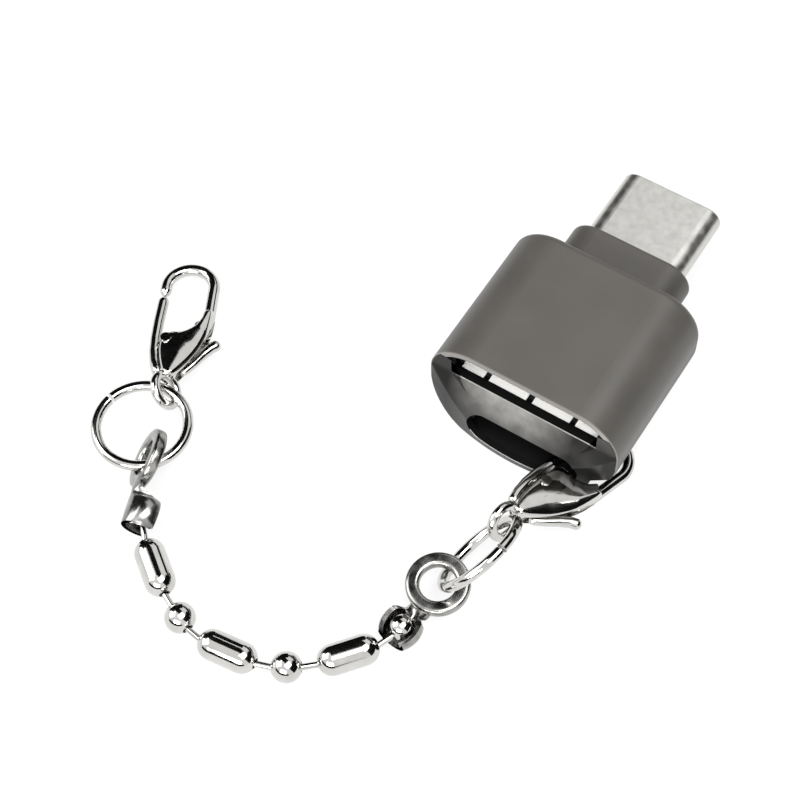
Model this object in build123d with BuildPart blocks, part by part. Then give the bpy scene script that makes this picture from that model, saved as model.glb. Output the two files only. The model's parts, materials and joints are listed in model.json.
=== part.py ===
from build123d import *
import os
from math import asin, cos, degrees, radians, sin

# A thumb-size card reader with a reversible plug, on a ball chain between two sprung hook clasps.
# Millimetres. +Z is up and the underside of the housing lies on Z = 0, centred on the origin.
# +Y runs towards the plug, so the end with the card slot faces -Y and the chain lies in front of it.

# Housing
housing_width = 15.5
housing_height = 8.3
housing_length = 12.6
housing_corner = 3.5
housing_wall = 0.8
housing_front_wall = 1.0
shoulder_round = 0.7
mouth_wall = 0.45
mouth_depth = 1.1
collar_width = 10.0
collar_height = 4.1
collar_length = 3.6
collar_round = 0.35
fit_gap = 0.05

# Plug
plug_width = 8.25
plug_height = 2.4
plug_reach = 6.5
plug_tail = 2.2
plug_wall = 0.3
tongue_slot_width = 6.7
tongue_slot_height = 0.8
tongue_slot_depth = 5.2
contact_count = 12
contact_pitch = 0.5
contact_width = 0.25
contact_thickness = 0.15
contact_tail = 0.9
latch_length = 3.2
latch_thickness = 0.25

# Circuit board and what stands on it
board_thickness = 0.8
board_edge_gap = 0.1
chip_width = 5.0
chip_length = 3.4
chip_height = 0.75
chip_part_gap = 0.4
small_part_width = 0.5
small_part_length = 1.0
small_part_height = 0.45

# Card socket
card_width = 11.0
card_thickness = 0.75
card_clearance = 0.15
socket_length = 7.2
socket_floor = 0.55
socket_rail = 0.35
cover_sheet = 0.15
shield_sheet = 0.1
shield_length = 0.9
shield_posts = 3
shield_post_width = 0.55
spring_count = 8
spring_pitch = 1.1
spring_width = 0.5
spring_thickness = 0.12
spring_length = 2.4
spring_rise = 0.35

# End cap with its lanyard nose
nose_reach = 1.6
nose_top = 3.35
nose_wall = 0.75
nose_floor = 0.5
cap_sill = 5.3
cap_bridge = 0.45
cap_slot_round = 0.5
loop_opening_width = 9.8
loop_opening_top = 3.1
loop_opening_lip = 0.08
port_length = 5.3
post_width = 1.1
port_bottom = 0.35
port_top = 2.9

# Sprung hook clasp, in its own plane: x from the eye to the hook, y towards the gate
clasp_length = 11.6
clasp_thickness = 2.0
hook_thickness = 1.3
clasp_edge_round = 0.42
clasp_neck_radius = 0.75
clasp_neck_place = 1.5
pod_radius = 1.9
pod_place = (4.3, -0.35)
loop_radius = 2.25
loop_offset = -0.6
loop_wire = 0.95
loop_inside_start = 6.25
gate_start = 6.1
gate_end = 8.9
gate_gap = 0.12
lever_thickness = 0.8
lever_slot_gap = 0.1
lever_pivot = (4.2, 0.5)
lever_pivot_radius = 0.75
gate_tip_radius = 0.42
gate_tip_offset = 1.1
gate_width = 1.2
thumb_root = (3.25, -1.9)
thumb_root_radius = 0.4
thumb_tip = (4.95, -3.3)
thumb_tip_radius = 0.36
rivet_radius = 0.4
rivet_gap = 0.05
slot_bottom = 1.95
leaf_thickness = 0.16
leaf_width = 0.6
clasp_eye_radius = 1.2
clasp_eye_wire = 0.72
clasp_eye_turn = 35.0

# Jump rings
ring_radius = 3.4
ring_wire = 0.8
ring_split = 0.25

# Chain connectors
connector_sheet = 0.4
connector_eye_outer = 2.3
connector_eye_hole = 1.35
connector_reach = 4.2
connector_neck_width = 1.7
connector_cup_width = 2.8
connector_cup_length = 2.8
connector_ear_width = 2.4
connector_ear_straight = 1.0
connector_slot_width = 1.7
connector_wire_room = 0.45
end_ball_radius = 0.95

# Chain beads and the wire pins that join them
bead_radius = 1.12
bead_wall = 0.2
bar_length = 4.5
bead_hole_radius = 0.4
pin_wire = 0.46
pin_gap = 1.0
pin_head_radius = 0.48
pin_head_length = 0.2
pin_head_room = 0.48

# How the chain lies: headings in plan, away from the reader, and slopes, in degrees
clasp_1_eye = (2.88, -13.5, 2.62)
clasp_1_heading = 74.0
clasp_1_slope = -8.2
clasp_1_roll = 12.0
ring_1_heading = -98.0
ring_1_lean = 58.0
connector_1_heading = -94.6
connector_1_slope = 7.0
connector_1_height = 1.25
connector_1_seat = 0.6
end_ball_1_heading = -103.0
end_ball_slope = 8.0
chain_headings = (-116, -131, -138, -148, -161, -173, -189, -203, -206, -216, -226)
chain_height = 1.14
pin_drop = 0.22
end_ball_2_heading = -238.0
connector_2_heading = -250.0
connector_2_roll = 120.0
connector_2_height = 1.56
ring_2_heading = 124.0
ring_2_seat = -0.38
ring_2_split_heading = 170.0
ring_2_out_heading = 95.0
clasp_2_heading = 118.4
clasp_2_slope = -4.2
clasp_2_height = 1.6


def heading(angle):
    """Unit vector in plan at an angle from +X."""
    return Vector(cos(radians(angle)), sin(radians(angle)), 0)


def lying_frame(origin, angle, slope=0.0, roll=0.0):
    """Plane with its x along a heading, raised by a slope and rolled about that direction."""
    along = heading(angle) * cos(radians(slope)) + Vector(0, 0, sin(radians(slope)))
    side = Vector(0, 0, 1).cross(along).normalized()
    lift = along.cross(side)
    normal = lift * cos(radians(roll)) - side * sin(radians(roll))
    return Plane(origin=origin, x_dir=along, z_dir=normal)


def spot(frame, x, y, z=0.0):
    """Point given in a frame's own coordinates."""
    return frame.origin + frame.x_dir * x + frame.y_dir * y + frame.z_dir * z


def save(part, name):
    """Label a finished piece and write it."""
    part.label = name
    export_step(part, f"parts/{name}.step")


os.makedirs("parts", exist_ok=True)

# Places along the reader
rear = -housing_length / 2
front = housing_length / 2
axis_height = housing_height / 2
cavity_front = front - housing_front_wall
collar_tip = front + collar_length
plug_tip = collar_tip + plug_reach
plug_back = cavity_front - plug_tail
board_top = axis_height + board_thickness / 2
board_bottom = axis_height - board_thickness / 2
cap_back = rear + mouth_depth


def across(y):
    """Section plane at a place along the reader: x to +X, normal to +Y, centred on the plug's axis."""
    return Plane(origin=(0, y, axis_height), x_dir=(1, 0, 0), z_dir=(0, 1, 0))


def section(inset):
    """Sketch of the housing's rounded section, drawn in by an inset."""
    RectangleRounded(housing_width - 2 * inset, housing_height - 2 * inset, housing_corner - inset)


# The housing is one moulding: a tube closed at the front by the wall that carries the plug's collar.
with BuildPart() as housing:
    with BuildSketch(across(rear)):
        section(0)
    extrude(amount=housing_length)
    fillet(housing.faces().sort_by(Axis.Y)[-1].edges(), shoulder_round)
    with BuildSketch(across(front - shoulder_round)):
        SlotOverall(collar_width, collar_height)
    extrude(amount=collar_length + shoulder_round)
    fillet(housing.faces().sort_by(Axis.Y)[-1].edges(), collar_round)
    with BuildSketch(across(rear)):
        section(housing_wall)
    extrude(amount=cavity_front - rear, mode=Mode.SUBTRACT)
    with BuildSketch(across(rear)):
        section(mouth_wall)
    extrude(amount=mouth_depth, mode=Mode.SUBTRACT)
    with BuildSketch(across(cavity_front)):
        SlotOverall(plug_width + 2 * fit_gap, plug_height + 2 * fit_gap)
    extrude(amount=collar_tip - cavity_front, mode=Mode.SUBTRACT)
    # The lanyard port opens the lower right flank behind the corner post.
    with BuildSketch(Plane(origin=(0, rear, 0), x_dir=(0, 1, 0), z_dir=(1, 0, 0))):
        with Locations((port_length / 2, (port_bottom + port_top) / 2)):
            Rectangle(port_length, port_top - port_bottom)
    extrude(amount=housing_width, mode=Mode.SUBTRACT)
save(housing.part, "housing")

# The nose bows out below the card slot, within the housing's own section.
with BuildPart() as nose:
    with BuildSketch():
        with BuildLine():
            ThreePointArc((-housing_width / 2, rear), (0, rear - nose_reach), (housing_width / 2, rear))
            Line((housing_width / 2, rear), (-housing_width / 2, rear))
        make_face()
    extrude(amount=nose_top)
    with BuildSketch(across(rear)):
        section(0)
    extrude(amount=-2 * nose_reach, mode=Mode.INTERSECT)

# The bay is the hollow behind the nose's wall, where the clasp's gate and hook tip lie.
bay_half = housing_width / 2 - 2 * nose_wall
with BuildPart() as bay:
    with BuildSketch(Plane.XY.offset(nose_floor)):
        with BuildLine():
            ThreePointArc((-bay_half, rear), (0, rear - nose_reach + nose_wall), (bay_half, rear))
            Polyline((bay_half, rear), (bay_half, cap_back), (-bay_half, cap_back), (-bay_half, rear))
        make_face()
    extrude(amount=loop_opening_top - nose_floor)
    with BuildSketch(across(cap_back)):
        section(2 * mouth_wall)
    extrude(amount=-mouth_depth - nose_reach, mode=Mode.INTERSECT)

# The end cap closes the mouth: a card slot above, the bowed lanyard nose below.
cap_slot_width = card_width + 2 * (card_clearance + socket_rail)
cap_slot_top = housing_height - mouth_wall - fit_gap - cap_bridge
opening_height = loop_opening_top - nose_floor - 2 * loop_opening_lip
post_side = loop_opening_width / 2 + post_width
with BuildPart() as end_cap:
    with BuildSketch(across(rear)):
        section(mouth_wall + fit_gap)
    extrude(amount=mouth_depth)
    add(nose.part)
    add(bay.part, mode=Mode.SUBTRACT)
    with BuildSketch(across(rear)):
        with Locations((0, axis_height - (nose_floor + loop_opening_top) / 2)):
            SlotOverall(loop_opening_width, opening_height)
    extrude(amount=-2 * nose_reach, mode=Mode.SUBTRACT)
    with BuildSketch(across(rear)):
        with Locations((0, axis_height - (cap_sill + cap_slot_top) / 2)):
            RectangleRounded(cap_slot_width, cap_slot_top - cap_sill, cap_slot_round)
    extrude(amount=mouth_depth, mode=Mode.SUBTRACT)
    # The side port cuts the right end of the nose away and leaves the corner post.
    with BuildSketch(Plane(origin=(post_side, rear, 0), x_dir=(0, 1, 0), z_dir=(1, 0, 0))):
        with Locations((0, (port_bottom + port_top) / 2)):
            Rectangle(2 * port_length, port_top - port_bottom)
    extrude(amount=housing_width, mode=Mode.SUBTRACT)
save(end_cap.part, "end_cap")

# Circuit board, held by its edges between the housing's side walls and by the plug in front.
board_width = housing_width - 2 * (housing_wall + board_edge_gap)
with BuildPart() as circuit_board:
    with BuildSketch(Plane.XY.offset(board_bottom)):
        with Locations((0, (cap_back + plug_back) / 2)):
            Rectangle(board_width, plug_back - cap_back - 2 * fit_gap)
    extrude(amount=board_thickness)
    with BuildSketch(across(rear)):
        section(housing_wall + board_edge_gap)
    extrude(amount=housing_length, mode=Mode.INTERSECT)
save(circuit_board.part, "circuit_board")

# Plug: a drawn steel shell round a moulded insulator that leaves a slot for the socket's tongue.
with BuildPart() as plug_shell:
    with BuildSketch(across(plug_back)):
        SlotOverall(plug_width, plug_height)
        SlotOverall(plug_width - 2 * plug_wall, plug_height - 2 * plug_wall, mode=Mode.SUBTRACT)
    extrude(amount=plug_tip - plug_back)
    fillet(plug_shell.faces().sort_by(Axis.Y)[-1].outer_wire().edges(), plug_wall * 0.6)
save(plug_shell.part, "plug_shell")

insulator_width = plug_width - 2 * (plug_wall + fit_gap)
insulator_height = plug_height - 2 * (plug_wall + fit_gap)
insulator_tip = plug_tip - plug_wall
slot_floor = insulator_tip - tongue_slot_depth
contact_reach = tongue_slot_depth * 0.8
contact_level = tongue_slot_height / 2 + contact_thickness
latch_side = tongue_slot_width / 2
with BuildPart() as plug_insulator:
    with BuildSketch(across(plug_back)):
        SlotOverall(insulator_width, insulator_height)
    extrude(amount=insulator_tip - plug_back)
    with BuildSketch(across(slot_floor)):
        Rectangle(tongue_slot_width, tongue_slot_height)
    extrude(amount=tongue_slot_depth, mode=Mode.SUBTRACT)
    # One groove for each contact, above and below the slot, and a pocket for the latch at each side.
    with BuildSketch(across(plug_back)):
        with GridLocations(contact_pitch, tongue_slot_height + contact_thickness, contact_count, 2):
            Rectangle(contact_width, contact_thickness)
    extrude(amount=insulator_tip - plug_back, mode=Mode.SUBTRACT)
    with BuildSketch(across(slot_floor)):
        with GridLocations(tongue_slot_width - latch_thickness, 0, 2, 1):
            Rectangle(latch_thickness * 3, tongue_slot_height)
    extrude(amount=latch_length, mode=Mode.SUBTRACT)
save(plug_insulator.part, "plug_insulator")

with BuildPart() as plug_contacts:
    with BuildSketch(across(plug_back)):
        with GridLocations(contact_pitch, tongue_slot_height + contact_thickness, contact_count, 2):
            Rectangle(contact_width, contact_thickness)
    extrude(amount=slot_floor + contact_reach - plug_back)
    extrude(to_extrude=plug_contacts.faces().group_by(Axis.Y)[0], amount=contact_tail)
save(plug_contacts.part, "plug_contacts")

with BuildPart() as plug_latch_springs:
    with BuildSketch(across(slot_floor)):
        with GridLocations(tongue_slot_width + latch_thickness, 0, 2, 1):
            Rectangle(latch_thickness, tongue_slot_height - 2 * fit_gap)
    extrude(amount=latch_length)
save(plug_latch_springs.part, "plug_latch_springs")

# Card socket: a moulded tray on the board, a sheet cover, a shield strip at its mouth and contact springs.
socket_width = card_width + 2 * (card_clearance + socket_rail)
socket_back = cap_back + fit_gap + socket_length
socket_inside = card_thickness + 2 * card_clearance
tray_top = board_top + socket_floor + socket_inside
spring_start = socket_back - socket_rail - spring_length - 1.6
with BuildPart() as card_socket_base:
    with BuildSketch(Plane.XY.offset(board_top)):
        with Locations((0, socket_back - socket_length / 2)):
            Rectangle(socket_width, socket_length)
    extrude(amount=socket_floor + socket_inside)
    with BuildSketch(Plane.XY.offset(board_top + socket_floor)):
        with Locations((0, socket_back - socket_rail - socket_length / 2)):
            Rectangle(card_width + 2 * card_clearance, socket_length)
    extrude(amount=socket_inside, mode=Mode.SUBTRACT)
    # Pockets in the floor for the springs
    with BuildSketch(Plane.XY.offset(board_top + socket_floor)):
        with Locations((0, spring_start + spring_length / 2)):
            with GridLocations(spring_pitch, 1, spring_count, 1):
                Rectangle(spring_width + 2 * fit_gap, spring_length + 2 * fit_gap)
    extrude(amount=-spring_thickness, mode=Mode.SUBTRACT)
save(card_socket_base.part, "card_socket_base")

with BuildPart() as card_socket_cover:
    with BuildSketch(Plane.XY.offset(tray_top)):
        with Locations((0, socket_back - socket_length / 2)):
            Rectangle(socket_width, socket_length)
    extrude(amount=cover_sheet)
    # Two long relief slots free the card's press tabs.
    with BuildSketch(Plane.XY.offset(tray_top)):
        with Locations((0, socket_back - socket_length / 2)):
            with GridLocations(card_width / 2, 1, 2, 1):
                SlotOverall(socket_length * 0.6, spring_width, rotation=90)
    extrude(amount=cover_sheet, mode=Mode.SUBTRACT)
save(card_socket_cover.part, "card_socket_cover")

shield_width = card_width - 2 * card_clearance
shield_pitch = shield_width / (shield_posts + 1)
with BuildPart() as card_shield_strip:
    with BuildSketch(Plane.XY.offset(board_top + socket_floor)):
        with Locations((0, cap_back + fit_gap + shield_length / 2)):
            with GridLocations(shield_pitch, 1, shield_posts + 1, 1):
                Rectangle(shield_pitch - shield_post_width, shield_length)
    extrude(amount=shield_sheet)
save(card_shield_strip.part, "card_shield_strips")

with BuildPart() as card_socket_contacts:
    spring_plane = Plane(origin=(-spring_width / 2, 0, board_top + socket_floor - spring_thickness),
                         x_dir=(0, 1, 0), z_dir=(1, 0, 0))
    with BuildSketch(spring_plane):
        with BuildLine():
            Polyline(
                (spring_start, 0),
                (spring_start + spring_length * 0.3, 0),
                (spring_start + spring_length * 0.8, spring_rise),
                (spring_start + spring_length, spring_rise * 0.7),
                (spring_start + spring_length, spring_rise * 0.7 + spring_thickness),
                (spring_start + spring_length * 0.8, spring_rise + spring_thickness),
                (spring_start + spring_length * 0.3, spring_thickness),
                (spring_start, spring_thickness),
                close=True,
            )
        make_face()
    extrude(amount=spring_width)
    spring_blank = card_socket_contacts.part
with BuildPart() as card_contacts:
    with GridLocations(spring_pitch, 1, spring_count, 1):
        add(spring_blank)
save(card_contacts.part, "card_socket_contacts")

# Controller and small parts hang under the board, ahead of the lanyard bay.
chip_middle = plug_back - contact_tail - chip_part_gap - chip_length / 2
with BuildPart() as controller_chip:
    with BuildSketch(Plane.XY.offset(board_bottom - chip_height)):
        with Locations((0, chip_middle)):
            Rectangle(chip_width, chip_length)
    extrude(amount=chip_height)
    chamfer(controller_chip.faces().sort_by(Axis.Z)[0].edges(), chip_height * 0.15)
save(controller_chip.part, "controller_chip")

part_column = chip_width / 2 + chip_part_gap + small_part_width / 2
with BuildPart() as capacitors:
    with BuildSketch(Plane.XY.offset(board_bottom - small_part_height)):
        with Locations((-part_column, chip_middle)):
            with GridLocations(1, small_part_length + chip_part_gap, 1, 2):
                Rectangle(small_part_width, small_part_length)
    extrude(amount=small_part_height)
save(capacitors.part, "capacitors")

with BuildPart() as resistors:
    with BuildSketch(Plane.XY.offset(board_bottom - small_part_height)):
        with Locations((part_column, chip_middle)):
            with GridLocations(1, small_part_length + chip_part_gap, 1, 2):
                Rectangle(small_part_width, small_part_length)
    extrude(amount=small_part_height)
save(resistors.part, "resistors")


# Sprung hook clasps
loop_middle = clasp_length - loop_radius
loop_inside = loop_radius - loop_wire
lever_slot = lever_thickness + 2 * lever_slot_gap
gate_tip_place = (gate_end - gate_gap - gate_tip_radius, gate_tip_offset)
gate_root_place = (gate_start + gate_gap + 2 * gate_tip_radius, gate_tip_offset - gate_gap)
gate_inner_side = gate_tip_offset - gate_tip_radius - 2 * gate_gap


def clasp_eye_axis(frame):
    """Direction of the eye's hole: across the clasp, turned up out of its plane."""
    return frame.y_dir * -cos(radians(clasp_eye_turn)) + frame.z_dir * sin(radians(clasp_eye_turn))


def hull_of(frame, discs):
    """Sketch of the outline pulled tight round discs, each given by its place and radius."""
    with BuildSketch(frame) as outline:
        for place, radius in discs:
            with Locations(place):
                Circle(radius)
        make_hull()
    return outline.sketch


def make_clasp_body(frame, name):
    """Cast hook with its eye, slotted for the lever and open where the gate closes it."""
    neck = ((clasp_neck_place, 0), clasp_neck_radius)
    pod = (pod_place, pod_radius)
    loop = ((loop_middle, loop_offset), loop_radius)
    inside_far = ((loop_middle, loop_offset), loop_inside)
    inside_near = ((loop_inside_start + loop_inside, loop_offset), loop_inside)
    thinning = (clasp_thickness - hook_thickness) / 2
    taper = asin(thinning / clasp_length)
    slot_top = loop_inside_start + loop_inside
    with BuildPart() as body:
        extrude(to_extrude=hull_of(frame, (neck, pod, loop)), amount=clasp_thickness / 2, both=True)
        for side in (1, -1):
            face_plane = Plane(
                origin=spot(frame, 0, 0, side * clasp_thickness / 2),
                x_dir=frame.y_dir,
                z_dir=frame.z_dir * side * cos(taper) + frame.x_dir * sin(taper),
            )
            split(bisect_by=face_plane, keep=Keep.BOTTOM)
        fillet(body.edges(), clasp_edge_round)
        extrude(
            to_extrude=hull_of(frame, (inside_far, inside_near)),
            amount=clasp_thickness,
            both=True,
            mode=Mode.SUBTRACT,
        )
        with BuildSketch(frame):
            with Locations(((gate_start + gate_end) / 2, gate_inner_side + loop_radius / 2)):
                Rectangle(gate_end - gate_start, loop_radius)
        extrude(amount=clasp_thickness, both=True, mode=Mode.SUBTRACT)
        with BuildSketch(frame):
            with Locations(((slot_bottom + slot_top) / 2, 0)):
                Rectangle(slot_top - slot_bottom, 4 * pod_radius)
        extrude(amount=lever_slot / 2, both=True, mode=Mode.SUBTRACT)
        with BuildSketch(frame):
            with Locations(lever_pivot):
                Circle(rivet_radius)
        extrude(amount=clasp_thickness, both=True, mode=Mode.SUBTRACT)
        with Locations(Plane(origin=frame.origin, x_dir=frame.x_dir, z_dir=clasp_eye_axis(frame))):
            Torus(clasp_eye_radius, clasp_eye_wire / 2)
    save(body.part, f"{name}_body")


def make_clasp_lever(frame, name):
    """Lever in one piece: the gate that closes the hook, the web on the rivet and the thumb tab."""
    web = (lever_pivot, lever_pivot_radius)
    tip = (gate_tip_place, gate_tip_radius)
    thumb = (thumb_root, thumb_root_radius)
    with BuildPart() as lever:
        for pair in ((web, tip), (web, thumb), (thumb, (thumb_tip, thumb_tip_radius))):
            extrude(to_extrude=hull_of(frame, pair), amount=lever_thickness / 2, both=True)
        # The gate itself is wider than the web that turns in the slot.
        gate = hull_of(frame, ((gate_root_place, gate_tip_radius), tip))
        extrude(to_extrude=gate, amount=gate_width / 2, both=True)
        with BuildSketch(frame):
            with Locations(lever_pivot):
                Circle(rivet_radius + rivet_gap)
        extrude(amount=clasp_thickness, both=True, mode=Mode.SUBTRACT)
    save(lever.part, f"{name}_lever")


def make_clasp(frame, name):
    """The whole clasp: body, lever, the rivet it turns on and the leaf that pushes the gate shut."""
    make_clasp_body(frame, name)
    make_clasp_lever(frame, name)
    with BuildPart() as rivet:
        with BuildSketch(frame):
            with Locations(lever_pivot):
                Circle(rivet_radius)
        extrude(amount=clasp_thickness / 2, both=True)
    save(rivet.part, f"{name}_rivet")
    # The leaf is bowed between the floor of the slot and the underside of the web.
    leaf_foot = (slot_bottom + leaf_thickness, clasp_neck_radius / 2)
    leaf_bow = (slot_bottom + leaf_thickness / 2, -clasp_neck_radius / 2)
    leaf_tip = (thumb_root[0] - thumb_root_radius - leaf_thickness, thumb_root[1] + thumb_root_radius)
    with BuildPart() as leaf:
        with BuildSketch(frame):
            with BuildLine():
                ThreePointArc(leaf_foot, leaf_bow, leaf_tip)
            trace(line_width=leaf_thickness)
        extrude(amount=leaf_width / 2, both=True)
    save(leaf.part, f"{name}_spring")


def make_ring(frame, name):
    """Jump ring of round wire, with its split on the frame's own y side."""
    split_turn = ring_split / ring_radius
    along = frame.y_dir * cos(split_turn / 2) - frame.x_dir * sin(split_turn / 2)
    start = Plane(origin=frame.origin + along * ring_radius, x_dir=along, z_dir=frame.z_dir.cross(along))
    with BuildPart() as ring:
        with BuildSketch(start):
            Circle(ring_wire / 2)
        revolve(axis=Axis(frame.origin, frame.z_dir), revolution_arc=360 - degrees(split_turn))
    save(ring.part, name)


def make_connector(frame, name):
    """Folded strip: flat eye, neck and a cup whose two ears and end wall trap the chain's last bead."""
    base = frame.offset(-end_ball_radius - connector_sheet)
    wall_height = connector_sheet + end_ball_radius + connector_wire_room
    with BuildPart() as connector:
        with BuildSketch(base):
            with Locations((connector_reach, 0)):
                Circle(connector_eye_outer)
            with Locations((connector_reach / 2, 0)):
                Rectangle(connector_reach, connector_neck_width)
            Rectangle(connector_cup_length, connector_cup_width)
            with Locations((connector_reach, 0)):
                Circle(connector_eye_hole, mode=Mode.SUBTRACT)
        extrude(amount=connector_sheet)
        # Two rounded ears stand up along the sides of the cup.
        for side in (1, -1):
            ear_plane = Plane(
                origin=spot(base, 0, side * connector_cup_width / 2),
                x_dir=base.x_dir,
                z_dir=base.y_dir * -1,
            )
            with BuildSketch(ear_plane):
                with Locations((0, connector_ear_straight / 2)):
                    Rectangle(connector_ear_width, connector_ear_straight)
                with Locations((0, connector_ear_straight)):
                    Circle(connector_ear_width / 2)
                with Locations((0, -connector_ear_width / 2)):
                    Rectangle(connector_ear_width, connector_ear_width, mode=Mode.SUBTRACT)
            extrude(amount=side * connector_sheet)
        # The end wall is slotted from its top for the wire.
        wall_plane = Plane(
            origin=spot(base, -connector_cup_length / 2, 0),
            x_dir=base.y_dir,
            z_dir=base.x_dir,
        )
        with BuildSketch(wall_plane):
            with Locations((0, wall_height / 2)):
                Rectangle(connector_cup_width, wall_height)
            with Locations((0, connector_sheet + end_ball_radius + connector_wire_room / 2)):
                Rectangle(connector_slot_width, 3 * connector_wire_room, mode=Mode.SUBTRACT)
        extrude(amount=connector_sheet)
    save(connector.part, name)


def make_bead(frame, length, radius, name):
    """Hollow bead drawn from tube, with a wire hole in each rounded end."""
    with BuildPart() as bead:
        with BuildSketch(frame):
            for size, mode in ((radius, Mode.ADD), (radius - bead_wall, Mode.SUBTRACT)):
                straight = length / 2 - radius
                with Locations((straight, 0), (-straight, 0)):
                    Circle(size, mode=mode)
                if straight > 0:
                    Rectangle(2 * straight, 2 * size, mode=mode)
            with Locations((0, -radius)):
                Rectangle(2 * length, 2 * (radius + bead_hole_radius), mode=Mode.SUBTRACT)
        revolve(axis=Axis(frame.origin, frame.x_dir))
    save(bead.part, name)


def make_pin(start, end, name):
    """Wire between two beads, upset to a head inside each of them."""
    along = (end - start).normalized()
    length = (end - start).length
    inside = bead_wall / 2 + pin_head_room
    with BuildPart() as pin:
        with BuildSketch(Plane(origin=start - along * inside, z_dir=along)):
            Circle(pin_wire / 2)
        extrude(amount=length + 2 * inside)
        for place, way in ((start, -1), (end, 1)):
            with BuildSketch(Plane(origin=place + along * way * inside, z_dir=along * way)):
                Circle(pin_head_radius)
            extrude(amount=pin_head_length)
    save(pin.part, name)


def report_joint(name, place, axis=Vector(0, 0, 1)):
    """Print where a joint turns, for the assembly's record."""
    spot_text = ", ".join(f"{value:.4f}" for value in place)
    axis_text = ", ".join(f"{value:.5f}" for value in axis)
    print(f"joint {name} at ({spot_text}) about ({axis_text})")


# First clasp, hooked round the corner post of the end cap
clasp_1_frame = lying_frame(Vector(*clasp_1_eye), clasp_1_heading, clasp_1_slope, clasp_1_roll)
make_clasp(clasp_1_frame, "clasp_1")
report_joint("clasp_1_lever", spot(clasp_1_frame, *lever_pivot), clasp_1_frame.z_dir)

# First ring, leaning on its edge through the clasp's eye
ring_1_along = heading(ring_1_heading)
ring_1_rise = Vector(0, 0, 1).cross(ring_1_along) * cos(radians(ring_1_lean)) + Vector(0, 0, sin(radians(ring_1_lean)))
ring_1_height = ring_radius * sin(radians(ring_1_lean)) + ring_wire / 2


def ring_1_turn(height):
    """Angle below the ring's middle at which its wire passes a height."""
    return asin((ring_1_height - height) / (ring_radius * sin(radians(ring_1_lean))))


clasp_turn = ring_1_turn(clasp_1_eye[2])
ring_1_middle = Vector(*clasp_1_eye)
ring_1_middle += ring_1_along * ring_radius * cos(clasp_turn) + ring_1_rise * ring_radius * sin(clasp_turn)
ring_1_frame = Plane(origin=ring_1_middle, x_dir=ring_1_along, z_dir=ring_1_along.cross(ring_1_rise))
make_ring(ring_1_frame, "jump_ring_1")
report_joint("ring_1", Vector(*clasp_1_eye))

# First connector, its eye threaded on the ring
hold_turn = ring_1_turn(connector_1_height)
connector_1_hold = ring_1_middle + ring_1_along * ring_radius * cos(hold_turn)
connector_1_hold -= ring_1_rise * ring_radius * sin(hold_turn)
connector_1_frame = lying_frame(connector_1_hold, connector_1_heading + 180, connector_1_slope)
plate_middle = end_ball_radius + connector_sheet / 2
connector_1_ball = connector_1_hold + heading(connector_1_heading) * connector_1_seat
connector_1_ball -= connector_1_frame.x_dir * connector_reach - connector_1_frame.z_dir * plate_middle
connector_1_frame = lying_frame(connector_1_ball, connector_1_heading + 180, connector_1_slope)
make_connector(connector_1_frame, "connector_1")
report_joint("connector_1", connector_1_hold)

# The chain is walked from pivot to pivot: each pivot is the middle of a bead's wire hole.
ball_span = 2 * bead_radius - bead_wall
bar_span = bar_length - bead_wall
pin_span = pin_gap + bead_wall
end_ball_hole = end_ball_radius - bead_wall / 2
links = ("pin_1", "bar_1", "pin_2", "ball_1", "pin_3", "bar_2", "pin_4", "ball_2", "pin_5", "bar_3", "pin_6")
spans = {"pin": pin_span, "bar": bar_span, "ball": ball_span}
end_ball_1_frame = lying_frame(connector_1_ball, end_ball_1_heading, -end_ball_slope)
make_bead(end_ball_1_frame, 2 * end_ball_radius, end_ball_radius, "end_ball_1")
pivot = spot(end_ball_1_frame, end_ball_hole, 0)
heights = [pivot.Z, pivot.Z - pin_drop] + [chain_height] * 8 + [chain_height + pin_drop, connector_2_height]
for number, link in enumerate(links):
    span = spans[link.split("_")[0]]
    rise = heights[number + 1] - heights[number]
    flat = (span**2 - rise**2) ** 0.5
    far = pivot + heading(chain_headings[number]) * flat + Vector(0, 0, rise)
    if link.startswith("pin"):
        make_pin(pivot, far, link)
    else:
        middle = (pivot + far) * 0.5
        frame = lying_frame(middle, chain_headings[number], degrees(asin(rise / span)))
        make_bead(frame, span + bead_wall, bead_radius, link)
    report_joint(link, pivot)
    pivot = far

# Second connector, lying on its side, with the chain's last bead in its cup
end_ball_2_frame = lying_frame(pivot, end_ball_2_heading, end_ball_slope)
connector_2_ball = spot(end_ball_2_frame, end_ball_hole, 0)
end_ball_2_frame = lying_frame(connector_2_ball, end_ball_2_heading, end_ball_slope)
make_bead(end_ball_2_frame, 2 * end_ball_radius, end_ball_radius, "end_ball_2")
report_joint("connector_2", pivot)
connector_2_frame = lying_frame(connector_2_ball, connector_2_heading, 0, connector_2_roll)
make_connector(connector_2_frame, "connector_2")

# Second ring, lying almost flat through both eyes
connector_2_eye = spot(connector_2_frame, connector_reach, 0, -plate_middle)
ring_2_drop = (clasp_2_height - connector_2_eye.Z) / connector_2_frame.y_dir.Z
ring_2_hold = connector_2_eye + connector_2_frame.y_dir * ring_2_drop + connector_2_frame.x_dir * ring_2_seat
ring_2_middle = ring_2_hold + heading(ring_2_heading) * ring_radius
make_ring(lying_frame(ring_2_middle, ring_2_split_heading - 90), "jump_ring_2")
report_joint("ring_2", ring_2_hold)

# Second clasp, free at the end of the chain
clasp_2_eye = ring_2_middle + heading(ring_2_out_heading) * ring_radius
clasp_2_frame = lying_frame(clasp_2_eye, clasp_2_heading, clasp_2_slope)
make_clasp(clasp_2_frame, "clasp_2")
report_joint("clasp_2", clasp_2_eye)
report_joint("clasp_2_lever", spot(clasp_2_frame, *lever_pivot), clasp_2_frame.z_dir)
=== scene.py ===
import json
import logging
import math
from dataclasses import dataclass, field
from enum import Enum

import bmesh
import bpy
import numpy as np
from mathutils import Matrix, Vector


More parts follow.
